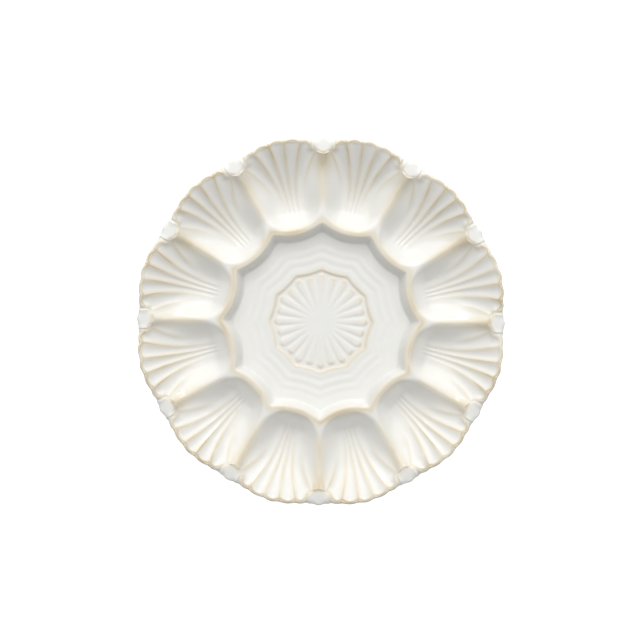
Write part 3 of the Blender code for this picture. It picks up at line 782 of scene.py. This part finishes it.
def glazed_rings():
    """The glazed surface from the middle out over the rim, and back in to the glaze line on the foot."""
    rings = [pole(middle_height(0.0, 0.0, 1.0))]
    rings += [middle_ring(mid, MIDDLE_COLUMNS, 1.0) for mid in MIDDLE_ROWS]
    rings += [wall_ring(INNER_COLUMNS, share) for share in WALL_ROWS]
    rings += [well_ring(INNER_COLUMNS, share) for share in INNER_ROWS]
    rings += [well_ring(RIM_COLUMNS, share) for share in RIM_ROWS]
    rings += [rim_ring(RIM_COLUMNS, turn) for turn in RIM_TURNS]
    rings += [back_ring(radius) for radius in BACK_ROWS]
    fillet_z = BACK_Z - FOOT_FILLET
    fillet = quarter_round(FOOT_OUTER + FOOT_FILLET, fillet_z, FOOT_FILLET, 90.0, 180.0)
    return rings + fillet + [round_ring(FOOT_OUTER, GLAZE_LINE_Z)]


def plain_rings():
    """The same surface without petals, lobes and ridges, cut down to the bottom of the flutes."""
    rings = [pole(middle_height(0.0, 0.0, 0.0))]
    rings += [middle_ring(mid, PLAIN_MIDDLE_COLUMNS, 0.0) for mid in PLAIN_MIDDLE_ROWS]
    rings += [wall_ring(PLAIN_COLUMNS, share) for share in PLAIN_WALL_ROWS]
    rings += [plain_well_ring(PLAIN_COLUMNS, share) for share in PLAIN_ROWS]
    rings += [plain_rim_ring(PLAIN_RIM_COLUMNS, share, 0.0) for share in PLAIN_RIM_ROWS]
    rings += [plain_rim_ring(PLAIN_RIM_COLUMNS, 1.0, turn) for turn in PLAIN_RIM_TURNS]
    rings += [back_ring(radius) for radius in PLAIN_BACK_ROWS]
    rings.append(round_ring(FOOT_OUTER + FOOT_FILLET, BACK_Z))
    rings.append(round_ring(FOOT_OUTER, BACK_Z - FOOT_FILLET / 2))
    rings.append(round_ring(FOOT_OUTER, GLAZE_LINE_Z))
    return rings


def foot_rings():
    """The bare clay foot from the glaze line down round the tread, and up inside to the base."""
    outer = FOOT_OUTER - GLAZE - GAP - FOOT_ROUNDING
    inner = FOOT_INNER + GLAZE + GAP + FOOT_ROUNDING
    base = BASE_Z + GLAZE + GAP
    rings = quarter_round(outer, FOOT_ROUNDING, FOOT_ROUNDING, 0.0, -90.0)
    rings += quarter_round(inner, FOOT_ROUNDING, FOOT_ROUNDING, -90.0, -180.0)
    corner = inner - 2.0 * FOOT_ROUNDING
    rings += quarter_round(corner, base - FOOT_ROUNDING, FOOT_ROUNDING, 0.0, 90.0)
    return rings + [pole(base)]


def base_rings():
    """A thin glaze dish inside the foot ring, with a short skirt down the ring's inner wall."""
    outer = FOOT_INNER + GLAZE
    inside = FOOT_INNER - FOOT_ROUNDING
    rings = [pole(BASE_Z + GLAZE)]
    rings += quarter_round(inside, BASE_Z - FOOT_ROUNDING, outer - inside, 90.0, 0.0)
    rings.append(round_ring(outer, GLAZE_LINE_Z))
    rings.append(round_ring(FOOT_INNER, GLAZE_LINE_Z))
    rings += quarter_round(inside, BASE_Z - FOOT_ROUNDING, FOOT_ROUNDING, 0.0, 90.0)
    return rings + [pole(BASE_Z)]


def add_piece(name, rings, material, node):
    """One piece of the plate in place of its plain solid, which is hidden. It takes the finish it is given.
    """
    points = np.concatenate(rings)
    mesh = bpy.data.meshes.new(name)
    mesh.from_pydata(points.tolist(), [], ring_faces(rings))
    mesh.materials.append(material)
    mesh.shade_smooth()
    piece = bpy.data.objects.new(name, mesh)
    bpy.context.scene.collection.objects.link(piece)
    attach(piece, "root")
    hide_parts(node)
    return piece


def linear(hex_colour):
    """An sRGB hex colour as linear RGBA."""
    channels = [int(hex_colour[k:k + 2], 16) / 255.0 for k in (1, 3, 5)]
    return tuple(c / 12.92 if c <= 0.04045 else ((c + 0.055) / 1.055) ** 2.4 for c in channels) + (1.0,)


def add_node(tree, kind, settings, inputs):
    """A node with its settings. An input is a value, or an output socket of another node to link from."""
    node = tree.nodes.new(kind)
    for key, value in settings.items():
        setattr(node, key, value)
    for key, value in inputs.items():
        if isinstance(value, bpy.types.NodeSocket):
            tree.links.new(value, node.inputs[key])
        else:
            node.inputs[key].default_value = value
    return node


def new_material(name):
    """A material with only its output node, and the tree to build in."""
    material = bpy.data.materials.new(name)
    material.use_nodes = True
    material.node_tree.nodes.clear()
    output = material.node_tree.nodes.new("ShaderNodeOutputMaterial")
    return material, material.node_tree, output


def colour_mix(tree, share, first, second):
    """Two colours mixed by a share. On the mix node they are inputs 6 and 7, and output 2."""
    mix = add_node(tree, "ShaderNodeMix", {"data_type": "RGBA"}, {0: share, 6: first, 7: second})
    return mix.outputs[2]


def noise(tree, place, size, detail):
    """A soft noise whose clouds are about this size."""
    inputs = {"Vector": place, "Scale": 1.0 / size, "Detail": detail}
    return add_node(tree, "ShaderNodeTexNoise", {}, inputs).outputs["Fac"]


def remapped(tree, value, start, end, low, high, curve):
    """Goes from low to high while a value goes from start to end."""
    inputs = {"Value": value, "From Min": start, "From Max": end, "To Min": low, "To Max": high}
    return add_node(tree, "ShaderNodeMapRange", {"interpolation_type": curve}, inputs).outputs[0]


def add_fired_surface(tree, output, colour, roughness, relief, strength, height):
    """The shader of a fired surface, with a fine relief."""
    bump = add_node(tree, "ShaderNodeBump", {}, {"Height": relief, "Strength": strength, "Distance": height})
    shader = add_node(tree, "ShaderNodeBsdfPrincipled", {}, {
        "Base Color": colour, "Roughness": roughness, "IOR": REFRACTION, "Normal": bump.outputs[0]})
    tree.links.new(shader.outputs[0], output.inputs["Surface"])


def glazed_stoneware(name):
    """Glossy cream glaze, dipped and fired. It pools white in the hollows, and breaks to tan where thin."""
    material, tree, output = new_material(name)
    place = add_node(tree, "ShaderNodeTexCoord", {}, {}).outputs["Object"]
    thin = add_node(tree, "ShaderNodeAttribute", {"attribute_name": THIN}, {}).outputs["Fac"]
    cloud = noise(tree, place, GLAZE_CLOUD, CLOUDY)
    patch = noise(tree, place, GLAZE_PATCH, SOFT)
    uneven = remapped(tree, patch, *PATCH_RANGE, *TAN_RANGE, "LINEAR")
    edge = add_node(tree, "ShaderNodeMath", {"operation": "MULTIPLY"}, {0: thin, 1: uneven}).outputs[0]
    # Painted shade: the brown core darkens the thinnest tan, partly real brown glaze and partly the shade
    # beside the ridges
    brown_and_shade = remapped(tree, edge, BROWN_AND_SHADE_START, BROWN_AND_SHADE_FULL, 0.0, BROWN_AND_SHADE_MOST, "LINEAR")
    body = colour_mix(tree, cloud, linear(GLAZE_WHITE), linear(GLAZE_SHADE))
    pale = colour_mix(tree, edge, body, linear(GLAZE_TAN))
    colour = colour_mix(tree, brown_and_shade, pale, linear(GLAZE_BROWN_AND_SHADE))
    waves = noise(tree, place, GLAZE_WAVE, SOFT)
    add_fired_surface(tree, output, colour, GLAZE_ROUGHNESS, waves, WAVE_STRENGTH, WAVE_HEIGHT)
    return material


def bare_stoneware():
    """Unglazed fired clay on the foot: matt buff, with fine dark grit."""
    material, tree, output = new_material("bare stoneware")
    place = add_node(tree, "ShaderNodeTexCoord", {}, {}).outputs["Object"]
    grit = noise(tree, place, GRIT_SIZE, GRITTY)
    cloud = noise(tree, place, CLAY_CLOUD, SOFT)
    body = colour_mix(tree, cloud, linear(CLAY_BUFF), linear(CLAY_SHADE))
    speck = remapped(tree, grit, *GRIT_RANGE, 0.0, 1.0, "LINEAR")
    colour = colour_mix(tree, speck, body, linear(CLAY_GRIT))
    add_fired_surface(tree, output, colour, CLAY_ROUGHNESS, grit, GRIT_STRENGTH, GRIT_HEIGHT)
    return material


def mark_thin_glaze(piece, points):
    """Stores the share of tan on the piece's first points. The rest of it is evenly glazed."""
    values = np.zeros(len(piece.data.vertices), dtype=np.float32)
    values[:len(points)] = thin_glaze(points)
    attribute = piece.data.attributes.new(THIN, "FLOAT", "POINT")
    attribute.data.foreach_set("value", values)


def add_pieces():
    """The glaze skin, the clay body under it, and the skin of the base inside the foot ring."""
    plain = plain_rings()
    glazed = glazed_rings()
    coat_rings = glazed + sunk(plain, GLAZE)[::-1]
    coat_finish = glazed_stoneware("glazed stoneware")
    coat = add_piece("glaze_skin", coat_rings, coat_finish, "glaze_coat")
    face_rings = 1 + sum(len(rows) for rows in (MIDDLE_ROWS, WALL_ROWS, INNER_ROWS, RIM_ROWS, RIM_TURNS))
    mark_thin_glaze(coat, np.concatenate(glazed[:face_rings]))
    clay_rings = sunk(plain, GLAZE + GAP) + foot_rings()
    add_piece("clay_body", clay_rings, bare_stoneware(), "stoneware_body")
    base_finish = glazed_stoneware("glazed stoneware base")
    add_piece("base_skin", base_rings(), base_finish, "base_glaze")


def add_floor():
    """White floor that keeps the plate's shadow. To the camera it glows a little, so that it is white."""
    material, tree, output = new_material("white paper sweep")
    sight = add_node(tree, "ShaderNodeLightPath", {}, {}).outputs["Is Camera Ray"]
    paper = add_node(tree, "ShaderNodeBsdfDiffuse", {}, {"Color": linear(PAPER)})
    glow = add_node(tree, "ShaderNodeEmission", {}, {"Color": linear(WHITE), "Strength": FLOOR_GLOW})
    none = add_node(tree, "ShaderNodeEmission", {}, {"Strength": 0.0})
    seen = add_node(tree, "ShaderNodeMixShader", {}, {0: sight, 1: none.outputs[0], 2: glow.outputs[0]})
    both = add_node(tree, "ShaderNodeAddShader", {}, {0: paper.outputs[0], 1: seen.outputs[0]})
    tree.links.new(both.outputs[0], output.inputs["Surface"])
    bpy.ops.mesh.primitive_plane_add(size=FLOOR_SIZE)
    floor = bpy.context.object
    floor.name = "floor"
    floor.data.materials.append(material)


def add_world():
    """White surround, brightest overhead. To the camera it is plain white."""
    world = bpy.data.worlds.new("white surround")
    bpy.context.scene.world = world
    world.use_nodes = True
    tree = world.node_tree
    tree.nodes.clear()
    direction = add_node(tree, "ShaderNodeTexCoord", {}, {}).outputs["Generated"]
    brightest = (0.0, math.sin(SURROUND_TILT), math.cos(SURROUND_TILT))
    upwards = add_node(tree, "ShaderNodeVectorMath", {"operation": "DOT_PRODUCT"}, {
        0: direction, 1: brightest}).outputs["Value"]
    overhead = remapped(tree, upwards, *SURROUND_RANGE, *SURROUND_LIGHT, "SMOOTHSTEP")
    sight = add_node(tree, "ShaderNodeLightPath", {}, {}).outputs["Is Camera Ray"]
    strength = remapped(tree, sight, 0.0, 1.0, overhead, 1.0, "LINEAR")
    light = add_node(tree, "ShaderNodeBackground", {}, {"Color": linear(WHITE), "Strength": strength})
    output = tree.nodes.new("ShaderNodeOutputWorld")
    tree.links.new(light.outputs[0], output.inputs["Surface"])


def add_softbox(name, place, width, height, watts):
    """A rectangular soft light that looks at the plate."""
    lamp = bpy.data.lights.new(name, "AREA")
    lamp.shape = "RECTANGLE"
    lamp.size = width
    lamp.size_y = height
    lamp.energy = watts
    softbox = bpy.data.objects.new(name, lamp)
    bpy.context.scene.collection.objects.link(softbox)
    softbox.location = place
    softbox.rotation_euler = Vector(place).to_track_quat("Z", "Y").to_euler()


def add_camera():
    """Straight above the plate, and turned a little."""
    data = bpy.data.cameras.new("camera")
    data.sensor_width = SENSOR
    rim_top = CAD_BOX[1][2]
    data.lens = SENSOR * (CAMERA_HEIGHT - rim_top) / FRAME_WIDTH
    camera = bpy.data.objects.new("camera", data)
    camera.location = (CAMERA_X, CAMERA_Y, CAMERA_HEIGHT)
    camera.rotation_euler = (0.0, 0.0, CAMERA_TURN)
    bpy.context.scene.collection.objects.link(camera)
    bpy.context.scene.camera = camera


add_pieces()
add_floor()
add_world()
add_softbox("wide softbox", *WIDE_SOFTBOX)
add_softbox("small softbox", *SMALL_SOFTBOX)
add_camera()
bpy.context.scene.view_settings.view_transform = "Standard"
